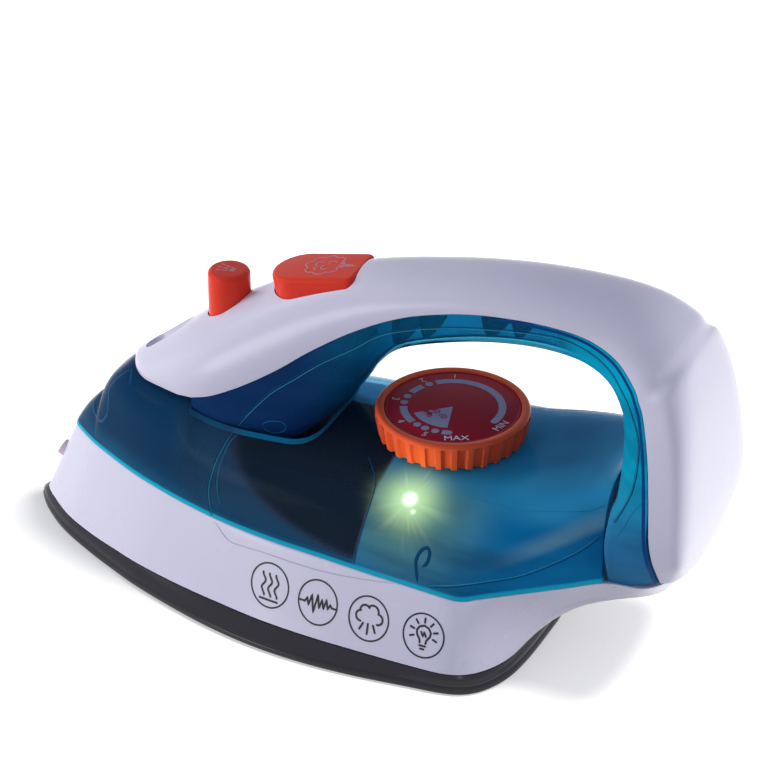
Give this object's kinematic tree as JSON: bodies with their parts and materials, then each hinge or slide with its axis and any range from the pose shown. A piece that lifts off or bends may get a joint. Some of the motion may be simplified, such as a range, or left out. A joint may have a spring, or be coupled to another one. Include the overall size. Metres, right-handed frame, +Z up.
{
  "type": "toy steam iron",
  "caption": "Toy steam iron with a clear tinted tank, ribbed dial, two push buttons and a closed handle.",
  "frame": {"origin": "on the table under the centre of the bounding box", "axes": "+X from the tip of the sole to the heel, +Y across to the far side, +Z up"},
  "size_m": [0.22, 0.0994, 0.1166],
  "materials": {
    "sole_black": "gloss",
    "shell_white": "gloss",
    "tank_teal": "clear tinted",
    "nozzle_pink": "gloss",
    "button_red": "gloss",
    "disc_red": "satin",
    "steel": "bright",
    "switch_black": "matte",
    "inner_grey": "matte",
    "inner_dark": "matte",
    "cell_green": "gloss",
    "contact_brass": "bright",
    "board_green": "matte",
    "lamp_lens": "clear",
    "inner_white": "matte",
    "speaker_grey": "matte",
    "wire_red": "matte"
  },
  "bodies": {
    "housing": {"sole_plate": "sole_black", "lower_skirt": "shell_white", "tank_shell": "tank_teal", "handle_frame": "tank_teal", "handle_cover": "shell_white", "spray_nozzle": "nozzle_pink", "spray_spring": "steel", "spray_switch": "switch_black", "steam_spring": "steel", "steam_switch": "switch_black", "switch_bracket": "inner_grey", "battery_tray": "inner_dark", "cell_left": "cell_green", "cell_middle": "cell_green", "cell_right": "cell_green", "front_contacts": "contact_brass", "rear_contacts": "contact_brass", "battery_door": "sole_black", "door_screw": "steel", "housing_screws": "steel", "module_case": "inner_dark", "circuit_board": "board_green", "lamp": "lamp_lens", "lamp_holder": "inner_white", "speaker": "speaker_grey", "speaker_clamp": "steel", "wire_loom": "wire_red"},
    "dial": {"dial_knob": "button_red", "dial_disc": "disc_red", "dial_retainer": "steel"},
    "spray": {"spray_button": "button_red"},
    "steam": {"steam_button": "button_red"}
  },
  "joints": [
    {"name": "dial_turn", "type": "hinge", "parent": "housing", "child": "dial", "pos_m": [0.02937, 0, 0.0577], "axis": [0, 0, 1], "range_deg": [-135, 135]},
    {"name": "spray_press", "type": "slide", "parent": "housing", "child": "spray", "axis": [0, 0, -1], "range_m": [0, 0.004], "stiffness_N_per_m": 500, "springref_m": -0.002, "deforming": ["spray_spring"]},
    {"name": "steam_press", "type": "slide", "parent": "housing", "child": "steam", "axis": [0.2079, 0, -0.9781], "range_m": [0, 0.003], "stiffness_N_per_m": 600, "springref_m": -0.002, "deforming": ["steam_spring"]}
  ]
}
